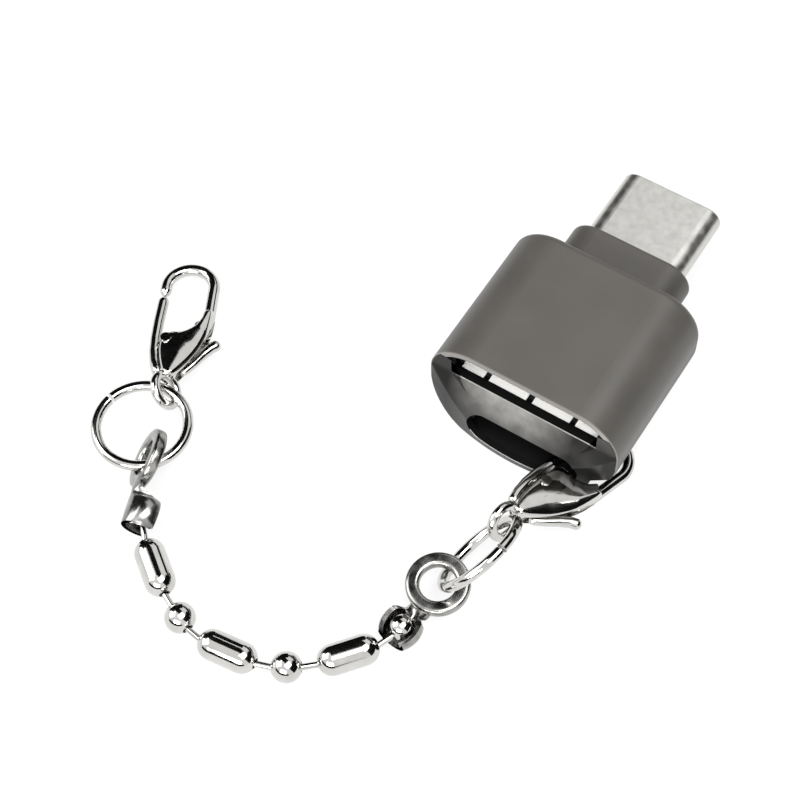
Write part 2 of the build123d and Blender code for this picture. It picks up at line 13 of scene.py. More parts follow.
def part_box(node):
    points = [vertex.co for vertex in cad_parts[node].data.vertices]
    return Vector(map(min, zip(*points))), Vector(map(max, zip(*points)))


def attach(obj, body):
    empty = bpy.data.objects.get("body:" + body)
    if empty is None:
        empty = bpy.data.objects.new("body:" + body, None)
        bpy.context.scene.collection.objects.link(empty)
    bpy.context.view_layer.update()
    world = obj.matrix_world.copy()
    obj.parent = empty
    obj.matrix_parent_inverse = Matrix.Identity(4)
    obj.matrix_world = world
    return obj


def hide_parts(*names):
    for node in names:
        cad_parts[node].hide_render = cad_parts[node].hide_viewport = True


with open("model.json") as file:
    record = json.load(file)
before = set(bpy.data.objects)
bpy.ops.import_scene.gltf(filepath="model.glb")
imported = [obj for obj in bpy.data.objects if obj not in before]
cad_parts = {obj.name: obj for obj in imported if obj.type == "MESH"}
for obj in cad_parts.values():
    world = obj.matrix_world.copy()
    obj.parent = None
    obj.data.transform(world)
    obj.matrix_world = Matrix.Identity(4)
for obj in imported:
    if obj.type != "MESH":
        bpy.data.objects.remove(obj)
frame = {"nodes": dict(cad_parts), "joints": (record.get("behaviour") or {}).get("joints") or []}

log = logging.getLogger("card_reader")
MM = 0.001
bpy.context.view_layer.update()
# Points of one piece that lie closer together than this are one point.
WELD_MM = 0.002
WHITE = (1.0, 1.0, 1.0, 1.0)


class Cheek(Enum):
    """Which of a clasp's two cheeks, by its side of the lever."""

    UPPER = 1
    LOWER = -1


def linear(code: str) -> tuple[float, float, float, float]:
    """Turn an sRGB hex value into linear colour.

    Args:
        code: Colour such as "#72706B".

    Returns:
        Red, green, blue and an alpha of 1, all linear.
    """
    channels = np.array([int(code[i:i + 2], 16) / 255 for i in (1, 3, 5)])
    curve = np.where(channels <= 0.04045, channels / 12.92, ((channels + 0.055) / 1.055) ** 2.4)
    return (*(float(c) for c in curve), 1.0)


def per_mm(size_mm: float) -> float:
    """Texture scale at which one cell of a pattern is a size in millimetres, for coordinates in metres."""
    return 1.0 / (size_mm * MM)


def add_node(tree: bpy.types.NodeTree, kind: str, settings: dict[str, str] | None = None,
             **links: bpy.types.NodeSocket | float | tuple[float, ...]) -> bpy.types.Node:
    """Add a node with its settings, values and links.

    Args:
        tree: Node tree that gets the node.
        kind: Blender's name for the node.
        settings: Properties of the node, such as its operation.
        links: Inputs by name, with spaces as underscores or by index as i0, i1; a socket is linked,
            anything else is set as the input's value.

    Returns:
        The new node.
    """
    node = tree.nodes.new(kind)
    for name, value in (settings or {}).items():
        setattr(node, name, value)
    for name, value in links.items():
        indexed = name[0] == "i" and name[1:].isdigit()
        socket = node.inputs[int(name[1:])] if indexed else node.inputs[name.replace("_", " ")]
        if isinstance(value, bpy.types.NodeSocket):
            tree.links.new(value, socket)
        else:
            socket.default_value = value
    return node


def blank_material(name: str) -> tuple[bpy.types.Material, bpy.types.NodeTree]:
    """Make a material with an empty node tree.

    Args:
        name: Name of the real material.

    Returns:
        The material and its node tree.
    """
    material = bpy.data.materials.new(name)
    material.use_nodes = True
    tree = material.node_tree
    tree.nodes.clear()
    return material, tree


@dataclass(frozen=True)
class Finish:
    """A surface made of one real material, with a fine grain and broad, faint cloudiness.

    The base colour drifts between two hex values, the roughness follows the same clouds, and the grain
    is a bump whose cell is a real size.
    """

    name: str
    dark: str
    light: str
    metallic: float
    roughness: float
    roughness_drift: float
    grain_mm: float
    grain_depth_mm: float
    cloud_mm: float
    ior: float = 1.5
    cloud_range: tuple[float, float] = (0.3, 0.7)
    cloud_detail: float = 3.0
    grain_detail: float = 2.0
    grain_strength: float = 0.6

    def build(self) -> bpy.types.Material:
        """Make the material.

        Returns:
            The finished material.
        """
        material, tree = blank_material(self.name)
        place = add_node(tree, "ShaderNodeTexCoord").outputs["Object"]
        clouds = add_node(tree, "ShaderNodeTexNoise", Vector=place, Scale=per_mm(self.cloud_mm),
                          Detail=self.cloud_detail)
        grain = add_node(tree, "ShaderNodeTexNoise", Vector=place, Scale=per_mm(self.grain_mm),
                         Detail=self.grain_detail)
        blend = add_node(tree, "ShaderNodeMix", {"data_type": "RGBA"}, i0=clouds.outputs["Fac"],
                         i6=linear(self.dark), i7=linear(self.light))
        rough = add_node(tree, "ShaderNodeMapRange", Value=clouds.outputs["Fac"],
                         From_Min=self.cloud_range[0], From_Max=self.cloud_range[1],
                         To_Min=self.roughness - self.roughness_drift,
                         To_Max=self.roughness + self.roughness_drift)
        bump = add_node(tree, "ShaderNodeBump", Strength=self.grain_strength,
                        Distance=self.grain_depth_mm * MM, Height=grain.outputs["Fac"])
        shader = add_node(tree, "ShaderNodeBsdfPrincipled", Base_Color=blend.outputs[2],
                          Metallic=self.metallic, Roughness=rough.outputs["Result"],
                          Normal=bump.outputs["Normal"], IOR=self.ior)
        add_node(tree, "ShaderNodeOutputMaterial", Surface=shader.outputs["BSDF"])
        return material

    def tint(self, tree: bpy.types.NodeTree, share: bpy.types.NodeSocket, code: str) -> None:
        """Mix a second colour over the base colour.

        Args:
            tree: Node tree of the finished material.
            share: Value that is 1 where the second colour covers the first.
            code: Second colour, as a hex value.
        """
        shader = next(node for node in tree.nodes if node.type == "BSDF_PRINCIPLED")
        under = shader.inputs["Base Color"].links[0].from_socket
        both = add_node(tree, "ShaderNodeMix", {"data_type": "RGBA"}, i0=share, i6=under, i7=linear(code))
        tree.links.new(both.outputs[2], shader.inputs["Base Color"])


@dataclass(frozen=True)
class EdgeHighlightPaint(Finish):
    """Paint with a painted highlight: paler along the edge of the moulding's open end."""

    # Paler colour of the painted highlight along the open end's edge, and where it starts and ends along the
    # housing.
    edge: str = "#75726E"
    edge_from_mm: float = -6.16
    edge_to_mm: float = -6.28

    def build(self) -> bpy.types.Material:
        """Make the paint and mix the painted edge highlight into its colour by the distance along the
        housing.

        Returns:
            The finished material.
        """
        material = super().build()
        tree = material.node_tree
        place = add_node(tree, "ShaderNodeTexCoord").outputs["Object"]
        along = add_node(tree, "ShaderNodeSeparateXYZ", Vector=place).outputs["Y"]
        share = add_node(tree, "ShaderNodeMapRange", Value=along, From_Min=self.edge_from_mm * MM,
                         From_Max=self.edge_to_mm * MM, To_Min=0.0, To_Max=1.0)
        # Painted highlight: the paler colour along the open end's edge.
        self.tint(tree, share.outputs["Result"], self.edge)
        return material


@dataclass(frozen=True)
class SmokyMoulding(Finish):
    """Dark clear plastic with a frosted, paler heart below the card slot, fading towards its ends."""

    heart: str = "#878683"
    heart_x_mm: float = -0.9
    heart_reach_mm: float = 5.2
    heart_full_mm: float = 1.56
    heart_low_mm: float = 3.0
    heart_high_mm: float = 4.9
    low_share: float = 0.35
    patch_mm: float = 1.1
    patch_detail: float = 4.0
    patch_range: tuple[float, float] = (0.3, 0.75)
    patch_share: float = 0.55

    def build(self) -> bpy.types.Material:
        """Make the plastic and mix the frosted heart in by distance from its middle and by height.

        Returns:
            The finished material.
        """
        material = super().build()
        tree = material.node_tree
        place = add_node(tree, "ShaderNodeTexCoord").outputs["Object"]
        parts = add_node(tree, "ShaderNodeSeparateXYZ", Vector=place)
        aside = add_node(tree, "ShaderNodeMath", {"operation": "SUBTRACT"}, i0=parts.outputs["X"],
                         i1=self.heart_x_mm * MM)
        away = add_node(tree, "ShaderNodeMath", {"operation": "ABSOLUTE"}, i0=aside.outputs[0])
        width = add_node(tree, "ShaderNodeMapRange", Value=away.outputs[0], From_Min=self.heart_reach_mm * MM,
                         From_Max=self.heart_full_mm * MM, To_Min=0.0, To_Max=1.0)
        height = add_node(tree, "ShaderNodeMapRange", Value=parts.outputs["Z"],
                          From_Min=self.heart_low_mm * MM, From_Max=self.heart_high_mm * MM,
                          To_Min=self.low_share, To_Max=1.0)
        patches = add_node(tree, "ShaderNodeTexNoise", Vector=place, Scale=per_mm(self.patch_mm),
                           Detail=self.patch_detail)
        patchy = add_node(tree, "ShaderNodeMapRange", Value=patches.outputs["Fac"],
                          From_Min=self.patch_range[0], From_Max=self.patch_range[1],
                          To_Min=self.patch_share, To_Max=1.0)
        heart = add_node(tree, "ShaderNodeMath", {"operation": "MULTIPLY"}, i0=width.outputs["Result"],
                         i1=height.outputs["Result"])
        share = add_node(tree, "ShaderNodeMath", {"operation": "MULTIPLY"}, i0=heart.outputs[0],
                         i1=patchy.outputs["Result"])
        self.tint(tree, share.outputs[0], self.heart)
        return material


# Each finish gives its name, two colours, metallic, roughness and its drift, then grain size, grain depth
# and cloud size in millimetres.
# Satin-painted moulding: a warm grey whose fine pigment grain catches the light at a low angle.
# Its paler edge at the open end is a painted highlight.
HOUSING_PAINT = EdgeHighlightPaint("satin_grey_paint", "#484642", "#514E4B", 0.2, 0.42, 0.03, 0.14, 0.004, 3.0)
# Smoky polycarbonate, moulded: nearly black, and paler where its frosted inside shows.
CAP_POLYCARBONATE = SmokyMoulding("smoky_polycarbonate", "#0C0C0B", "#181716", 0.0, 0.34, 0.05, 0.5, 0.001,
                                  2.0, ior=1.25)
# The hollow behind the moulding: dark plastic painted black as its shade, with hardly any sheen.
BAY_SHADE_BLACK = Finish("black_moulding_painted_shade", "#050505", "#0A0A0A", 0.0, 0.6, 0.05, 0.3, 0.001, 1.0, ior=1.2)
# Painted highlight: pale grey lines along the plastic's polished edges, standing in for the light that
# gathers there.
CAP_EDGE_HIGHLIGHT = Finish("painted_edge_highlight", "#7E7D7A", "#A9A8A5", 0.0, 0.1, 0.02, 0.5, 0.001, 1.2)
# Drawn stainless steel shell: pale, mottled by the deep-drawing and tumbling.
PLUG_STEEL = Finish("drawn_stainless_steel", "#B9B8B4", "#E6E5E1", 1.0, 0.34, 0.06, 0.22, 0.004, 0.55)
# Bright nickel plate over brass or steel: a near mirror with faint polishing haze.
BRIGHT_NICKEL = Finish("bright_nickel_plate", "#B9B8B5", "#DCDBD8", 1.0, 0.09, 0.03, 0.35, 0.0012, 1.1)
# Nickel on stamped strip: duller, with dark and pale patches painted in as reflections.
STAMPED_NICKEL = Finish("stamped_nickel_painted_reflections", "#30302F", "#C6C5C2", 1.0, 0.22, 0.06, 0.7, 0.02, 0.9)
# Tinned brass strip: painted plain white as the bright reflection on its tin, and drawn without a mirror.
TIN_PAINTED_REFLECTION = Finish("tinned_brass_painted_reflection", "#F3F2EE", "#FDFCFA", 0.0, 0.35, 0.04, 0.2, 0.001, 0.8)
# Stamped stainless sheet: greyer and softer than plate.
STAMPED_STEEL = Finish("stamped_stainless_sheet", "#A9A8A4", "#C9C8C4", 1.0, 0.3, 0.05, 0.12, 0.002, 0.7)
# Liquid-crystal polymer of the connector mouldings: dead black, dry sheen.
BLACK_POLYMER = Finish("black_liquid_crystal_polymer", "#141414", "#1E1D1D", 0.0, 0.5, 0.05, 0.1, 0.002, 1.0)
# Gold flash on copper alloy contacts: warm yellow, a soft mirror.
CONTACT_GOLD = Finish("gold_flashed_contact", "#C59A45", "#E0BE70", 1.0, 0.24, 0.05, 0.1, 0.001, 0.6)
# Solder mask over glass epoxy: green-black, with a smooth lacquered sheen.
SOLDER_MASK = Finish("solder_mask_on_glass_epoxy", "#13241C", "#1D3328", 0.0, 0.32, 0.05, 0.3, 0.002, 1.5)
# Moulded epoxy of the controller: charcoal, matt and finely pitted.
CHIP_EPOXY = Finish("moulded_epoxy", "#19191A", "#242425", 0.0, 0.55, 0.04, 0.08, 0.003, 0.8)
# Fired ceramic of the small parts: tan on the capacitors, near black on the resistors.
TAN_CERAMIC = Finish("fired_tan_ceramic", "#9C7C52", "#B8966A", 0.0, 0.45, 0.05, 0.1, 0.001, 0.4)
DARK_CERAMIC = Finish("fired_dark_ceramic", "#232326", "#2F2F33", 0.0, 0.4, 0.05, 0.1, 0.001, 0.4)

# Finish of each node, by the start of its name: the longest start that fits is taken.
NODE_FINISHES = {
    "housing": HOUSING_PAINT,
    "end_cap": CAP_POLYCARBONATE,
    "circuit_board": SOLDER_MASK,
    "plug_shell": PLUG_STEEL,
    "plug_insulator": BLACK_POLYMER,
    "plug_contacts": CONTACT_GOLD,
    "plug_latch_springs": STAMPED_STEEL,
    "card_socket_base": BLACK_POLYMER,
    "card_socket_cover": STAMPED_STEEL,
    "card_shield_strips": TIN_PAINTED_REFLECTION,
    "card_socket_contacts": CONTACT_GOLD,
    "controller_chip": CHIP_EPOXY,
    "capacitors": TAN_CERAMIC,
    "resistors": DARK_CERAMIC,
    "clasp_": BRIGHT_NICKEL,
    "clasp_1_spring": STAMPED_STEEL,
    "clasp_2_spring": STAMPED_STEEL,
    "jump_ring": BRIGHT_NICKEL,
    "connector": STAMPED_NICKEL,
    "end_ball": BRIGHT_NICKEL,
    "bar": BRIGHT_NICKEL,
    "ball": BRIGHT_NICKEL,
    "pin": BRIGHT_NICKEL,
}


@dataclass
class NodeDressing:
    """Makes each finish once and puts the finishes on the model's own nodes."""

    plan: dict[str, Finish]
    made: dict[str, bpy.types.Material] = field(default_factory=dict)

    def material(self, finish: Finish) -> bpy.types.Material:
        """Give a finish's material, made on first use.

        Args:
            finish: The finish.

        Returns:
            Its material.
        """
        if finish.name not in self.made:
            self.made[finish.name] = finish.build()
        return self.made[finish.name]

    def finish_of(self, node: str) -> Finish:
        """Find the finish for a node by the longest name in the plan that starts it.

        Args:
            node: Node's name.

        Returns:
            Its finish.
        """
        keys = [key for key in self.plan if node.startswith(key)]
        return self.plan[max(keys, key=len)]

    def dress(self) -> None:
        """Assign every node's material and log it."""
        for node, obj in frame["nodes"].items():
            finish = self.finish_of(node)
            obj.data.materials.clear()
            obj.data.materials.append(self.material(finish))
            log.info("node %s: %s", node, finish.name)


def surface(name: str, grids: list[tuple[np.ndarray, bool]], material: bpy.types.Material, body: str,
            crease: float = 40.0) -> bpy.types.Object:
    """Join grids of points into one smooth-shaded piece that rides a body.

    Args:
        name: Piece's name.
        grids: Points in millimetres, rows by columns by 3, and whether the columns close on themselves.
        material: Its material.
        body: Body that it rides.
        crease: Angle in degrees above which an edge stays sharp.

    Returns:
        The new object.
    """
    points, faces, base = [], [], 0
    for grid, closed in grids:
        rows, columns = grid.shape[:2]
        index = np.arange(rows * columns).reshape(rows, columns) + base
        beside = np.roll(index, -1, axis=1)
        quads = np.stack([index[:-1], beside[:-1], beside[1:], index[1:]], axis=-1)
        quads = quads if closed else quads[:, :-1]
        points.append(grid.reshape(-1, 3) * MM)
        faces.append(quads.reshape(-1, 4))
        base += rows * columns
    mesh = bpy.data.meshes.new(name)
    mesh.from_pydata(np.concatenate(points).tolist(), [], np.concatenate(faces).tolist())
    shape = bmesh.new()
    shape.from_mesh(mesh)
    bmesh.ops.remove_doubles(shape, verts=shape.verts, dist=WELD_MM * MM)
    bmesh.ops.recalc_face_normals(shape, faces=shape.faces)
    shape.to_mesh(mesh)
    shape.free()
    mesh.polygons.foreach_set("use_smooth", np.ones(len(mesh.polygons), dtype=bool))
    mesh.set_sharp_from_angle(angle=math.radians(crease))
    mesh.materials.append(material)
    obj = bpy.data.objects.new(name, mesh)
    bpy.context.scene.collection.objects.link(obj)
    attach(obj, body)
    log.info("piece %s on %s: %d faces", name, body, len(mesh.polygons))
    return obj


def along_path(corners: np.ndarray, count: int) -> np.ndarray:
    """Points at equal steps along a chain of straight runs.

    Args:
        corners: Corner points, n by 2 or n by 3.
        count: How many points, both ends included.

    Returns:
        The points.
    """
    steps = np.linalg.norm(np.diff(corners, axis=0), axis=1)
    reach = np.concatenate([[0.0], np.cumsum(steps)])
    at = np.linspace(0.0, reach[-1], count)
    return np.stack([np.interp(at, reach, corners[:, k]) for k in range(corners.shape[1])], axis=-1)


def at_height(flat: np.ndarray, height: float = 0.0) -> np.ndarray:
    """Points of a plane, n by 2, with one height as their third value."""
    return np.concatenate([flat, np.full((len(flat), 1), height)], axis=-1)


def ruled(x: np.ndarray, rows: tuple[tuple[np.ndarray | float, float], ...]) -> np.ndarray:
    """Sheet whose rows all run along X, each at its own Y and height.

    Args:
        x: X of the columns.
        rows: Y, as one value or one for each column, and height of each row.

    Returns:
        Grid of points, rows by columns by 3.
    """
    return np.stack([np.stack(np.broadcast_arrays(x, y, z), axis=-1) for y, z in rows])


def tube(path: np.ndarray, radius: np.ndarray | float, around: int = 20) -> np.ndarray:
    """Round wire about a path: each point's circle lies across the path's direction there.

    Args:
        path: Centre line, n by 3, in millimetres.
        radius: Wire radius, one value or one for each point.
        around: Points round the wire.

    Returns:
        Grid of n by around points.
    """
    steep = 0.8
    ahead = np.gradient(path, axis=0)
    ahead /= np.linalg.norm(ahead, axis=1, keepdims=True)
    spare = np.where(np.abs(ahead[:, 2:3]) < steep, np.array([[0.0, 0.0, 1.0]]), np.array([[1.0, 0.0, 0.0]]))
    side = np.cross(spare, ahead)
    side /= np.linalg.norm(side, axis=1, keepdims=True)
    rise = np.cross(ahead, side)
    turn = np.linspace(0, 2 * np.pi, around, endpoint=False)[None, :, None]
    size = np.broadcast_to(np.asarray(radius, dtype=float), (len(path),))[:, None, None]
    return path[:, None] + size * (np.cos(turn) * side[:, None] + np.sin(turn) * rise[:, None])


def round_ends(count: int, reach: int, least: float = 0.02) -> np.ndarray:
    """Share of a wire's radius at each point: 1 along it, falling in a quarter circle at both ends.

    Args:
        count: Points along the wire.
        reach: Points over which an end closes.
        least: Square of the share at the very end, which keeps it from closing to a point.

    Returns:
        One share for each point.
    """
    inward = np.minimum(np.arange(count), np.arange(count)[::-1]) / reach
    return np.sqrt(np.clip(1 - (1 - np.clip(inward, 0, 1)) ** 2, least, 1))


def joint_place(name: str) -> tuple[float, ...]:
    """Where a joint of the frame turns, in millimetres."""
    joint = next(entry for entry in frame["joints"] if entry["name"] == name)
    return tuple(value / MM for value in joint["pos_m"])


def node_middle(node: str) -> tuple[float, ...]:
    """Middle of a node's box, in millimetres."""
    return tuple((low + high) / 2 / MM for low, high in zip(*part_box(node)))


@dataclass(frozen=True)
class Lie:
    """How a piece lies: its origin in millimetres, and its heading, slope and roll in degrees."""

    origin: tuple[float, ...]
    heading: float
    slope: float = 0.0
    roll: float = 0.0

    def axes(self) -> np.ndarray:
        """Work out the piece's own directions: x from heading and slope, y level and then rolled about x.

        Returns:
            Unit x, y and z as rows.
        """
        heading, slope, roll = np.radians([self.heading, self.slope, self.roll])
        along = np.array([np.cos(heading) * np.cos(slope), np.sin(heading) * np.cos(slope), np.sin(slope)])
        level = np.array([-np.sin(heading), np.cos(heading), 0.0])
        across = level * np.cos(roll) + np.cross(along, level) * np.sin(roll)
        return np.stack([along, across, np.cross(along, across)])

    def place(self, local: np.ndarray) -> np.ndarray:
        """Move points from the piece's own coordinates to the shared frame."""
        return np.asarray(self.origin) + local @ self.axes()


@dataclass
class EndCap:
    """Smoky end moulding: one face that slopes from the card slot's sill to the bowed lanyard bar.

    Sizes are of its end view, in millimetres. Behind the face lie its returns and the lanyard's bay, painted
    black as their shade.
    """

    rear: float
    proud: float = 0.03
    half_width: float = 7.67
    corner: float = 3.42
    low: float = 0.08
    high: float = 8.22
    foot: float = 0.1
    sill: float = 5.3
    slot_half: float = 6.0
    cheek_top: float = 6.9
    bow: float = 1.6
    bow_half: float = 7.75
    slope_foot: float = 1.0
    opening_left: float = -3.95
    opening_right: float = 5.2
    opening_floor: float = 0.5
    opening_top: float = 3.02
    port_side: float = 6.0
    port_top: float = 2.2
    port_foot: tuple[tuple[float, float], ...] = ((5.7, 0.4), (6.0, 0.7))
    depth: float = 0.65
    lens_depth: float = 0.6
    ledge_drop: tuple[float, float] = (0.02, 0.16)
    ledge_depth: float = 1.1
    bay_inset: float = 0.35
    bay_depth: float = 2.4
    bay_mouth: float = 0.6
    bay_lip: float = 0.04
    bay_rise: tuple[float, float] = (0.4, 0.5)
    # Fine pale wires along the sill and the bar: painted highlights.
    sill_bead: float = 0.045
    sill_sunk: float = 0.03
    bar_bead: float = 0.04
    bar_sunk: float = 0.06
    bar_wrap: tuple[int, int] = (14, 6)
    bead_around: int = 10
    steps: int = 36
    face_rows: int = 28
    return_rows: int = 4

    @property
    def tip(self) -> float:
        """Radius of the lanyard opening's round ends."""
        return (self.opening_top - self.opening_floor) / 2

    def outline_x(self, z: np.ndarray) -> np.ndarray:
        """Half width of the rounded section: full between the corners, and within one a circle's.

        Args:
            z: Heights.

        Returns:
            Half width at each height.
        """
        below = np.clip(self.low + self.corner - z, 0, self.corner)
        above = np.clip(z - (self.high - self.corner), 0, self.corner)
        drop = np.maximum(below, above)
        return self.half_width - self.corner + np.sqrt(np.maximum(self.corner ** 2 - drop ** 2, 0))

    def lift(self, flat: np.ndarray) -> np.ndarray:
        """Give points of the end view their place along the reader.

        The face stands out by the lesser of a parabola across the width, which is the bow, and a straight
        line that grows from the sill downwards, which is the slope.

        Args:
            flat: X and Z, any shape by 2.

        Returns:
            X, Y and Z in millimetres.
        """
        bow = self.bow * (1 - (flat[..., 0] / self.bow_half) ** 2)
        slope = self.bow * (self.sill - flat[..., 1]) / (self.sill - self.slope_foot)
        out = np.clip(np.minimum(bow, slope), 0, None)
        return np.stack([flat[..., 0], self.rear - self.proud - out, flat[..., 1]], axis=-1)

    def run(self, *corners: tuple[float, float]) -> np.ndarray:
        """One stretch of a loop along straight runs, without its last point."""
        return along_path(np.array(corners), self.steps)[:-1]

    def tip_arc(self, centre: float, start: float, end: float) -> np.ndarray:
        """One stretch of the lanyard opening's round ends: a circle about the opening's middle height.

        Args:
            centre: X of the circle's middle.
            start: First angle, in degrees.
            end: Angle at which the next stretch starts.

        Returns:
            X and Z of the stretch, without its last point.
        """
        turn = np.radians(np.linspace(start, end, self.steps))[:-1]
        middle = (self.opening_floor + self.opening_top) / 2
        return np.stack([centre + self.tip * np.cos(turn), middle + self.tip * np.sin(turn)], axis=-1)

    def outer_loop(self) -> np.ndarray:
        """Edge of the moulding in six stretches: sill, slot's left, flank, foot, flank, slot's right.

        Returns:
            Closed loop of X and Z.
        """
        left_rise = np.linspace(self.cheek_top, self.foot, self.steps)
        left_flank = np.stack([-self.outline_x(left_rise), left_rise], axis=-1)
        right_rise = np.linspace(self.port_top, self.cheek_top, self.steps)
        right_flank = np.stack([self.outline_x(right_rise), right_rise], axis=-1)
        foot_x, foot_z = left_flank[-1]
        return np.concatenate([
            self.run((self.slot_half, self.sill), (-self.slot_half, self.sill)),
            self.run((-self.slot_half, self.sill), (-self.slot_half, self.cheek_top)),
            left_flank[:-1],
            self.run((foot_x, foot_z), (-foot_x, foot_z), *self.port_foot, (self.port_side, self.port_top)),
            right_flank[:-1],
            self.run(tuple(right_flank[-1]), (self.slot_half, self.cheek_top), (self.slot_half, self.sill)),
        ])

    def inner_loop(self) -> np.ndarray:
        """Edge of the lanyard opening in six stretches that match the outer loop's.

        Returns:
            Closed loop of X and Z.
        """
        left, right = self.opening_left + self.tip, self.opening_right - self.tip
        return np.concatenate([
            self.run((right, self.opening_top), (left, self.opening_top)),
            self.tip_arc(left, 90, 150),
            self.tip_arc(left, 150, 270),
            self.run((left, self.opening_floor), (right, self.opening_floor)),
            self.tip_arc(right, -90, 30),
            self.tip_arc(right, 30, 90),
        ])

    def hollow(self, outer: np.ndarray, inner: np.ndarray) -> list[tuple[np.ndarray, bool]]:
        """Returns of both loops into the housing, the ledge behind the sill and the bay behind the opening.

        Args:
            outer: Outer loop.
            inner: Inner loop.

        Returns:
            Grids, each with whether its columns close.
        """
        inwards = np.linspace(0, 1, self.return_rows)[:, None, None] * np.array([0.0, 1.0, 0.0])
        edge = self.lift(outer)[None]
        rim = edge + inwards * (self.rear + self.depth - edge[..., 1:2])
        lens = self.lift(inner)[None] + self.lens_depth * inwards
        columns = self.steps - 1
        across = np.linspace(-self.slot_half, self.slot_half, columns)
        front_drop, back_drop = self.ledge_drop
        ledge = ruled(across, ((self.rear, self.sill - front_drop),
                               (self.rear + self.ledge_depth, self.sill - back_drop)))
        wide = np.linspace(self.opening_left, self.opening_right, columns)
        floor_edge = np.stack([wide, np.full(columns, self.opening_floor)], axis=-1)
        back = self.rear + self.bay_depth
        low_rise, high_rise = self.bay_rise
        bay = ruled(wide, ((self.lift(floor_edge)[:, 1] + self.bay_inset, self.opening_floor - self.bay_lip),
                           (back, self.opening_floor + low_rise),
                           (back, self.opening_top + high_rise),
                           (self.rear - self.bay_mouth, self.opening_top + self.bay_lip)))
        return [(rim, True), (lens, True), (ledge, False), (bay, False)]

    def edges(self, outer: np.ndarray, inner: np.ndarray) -> list[tuple[np.ndarray, bool]]:
        """Painted highlights: one fine pale wire along the sill, one along the bar and a little way round its
        ends.

        Args:
            outer: Outer loop.
            inner: Inner loop.

        Returns:
            Grids, each with whether its columns close.
        """
        stretch = self.steps - 1
        before, after = self.bar_wrap
        sill_line = self.lift(outer[:stretch]) + np.array([0.0, self.sill_sunk, 0.0])
        bar = inner[3 * stretch - before:4 * stretch + after]
        bar_line = self.lift(bar) + np.array([0.0, self.bar_sunk, 0.0])
        return [(tube(sill_line, self.sill_bead, self.bead_around), True),
                (tube(bar_line, self.bar_bead, self.bead_around), True)]

    def build(self, dressing: NodeDressing) -> None:
        """Make the face in place of the plain moulding, then its hollow, painted black as shade, and its
        painted edge highlights.

        The face is a straight blend from the outer loop to the inner one, lifted as a whole.

        Args:
            dressing: Gives the materials.
        """
        outer, inner = self.outer_loop(), self.inner_loop()
        share = np.linspace(0, 1, self.face_rows)[:, None, None]
        face = self.lift(outer * (1 - share) + inner * share)
        smoky = surface("end_cap_face", [(face, True)], dressing.material(CAP_POLYCARBONATE), "reader")
        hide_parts("end_cap")
        # The returns, the ledge and the bay are painted black as shade.
        surface("end_cap_bay", self.hollow(outer, inner), dressing.material(BAY_SHADE_BLACK), "reader")
        surface("end_cap_edge_highlights", self.edges(outer, inner), dressing.material(CAP_EDGE_HIGHLIGHT), "reader")


@dataclass
class ShieldStrips:
    """Four tinned tabs at the mouth of the card socket, rising a little towards the back, painted white as
    their reflection.
    """

    spans: tuple[tuple[float, float], ...] = ((-5.6, -3.8), (-3.35, -0.25), (0.25, 3.35), (3.8, 5.6))
    front: float = -5.62
    back: float = -4.25
    height: float = 5.16
    rise: float = 0.16
    thickness: float = 0.1
    crease: float = 20.0

    def tab(self, left: float, right: float) -> np.ndarray:
        """One tab: a fan from its middle to its four corners, and a wall one thickness down.

        Args:
            left: X of its left edge.
            right: X of its right edge.

        Returns:
            Grid of three rows.
        """
        top = self.height + self.rise
        ring = np.array([[left, self.front, self.height], [right, self.front, self.height],
                         [right, self.back, top], [left, self.back, top]])
        middle = np.broadcast_to(ring.mean(axis=0), ring.shape)
        return np.stack([middle, ring, ring - np.array([0.0, 0.0, self.thickness])])

    def build(self, dressing: NodeDressing) -> None:
        """Make the tabs as one piece in place of the plain strips.

        Args:
            dressing: Gives the material.
        """
        tabs = [(self.tab(left, right), True) for left, right in self.spans]
        # Their white is a painted reflection.
        tin = dressing.material(TIN_PAINTED_REFLECTION)
        obj = surface("card_shield_tabs", tabs, tin, "reader", self.crease)
        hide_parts("card_shield_strips")


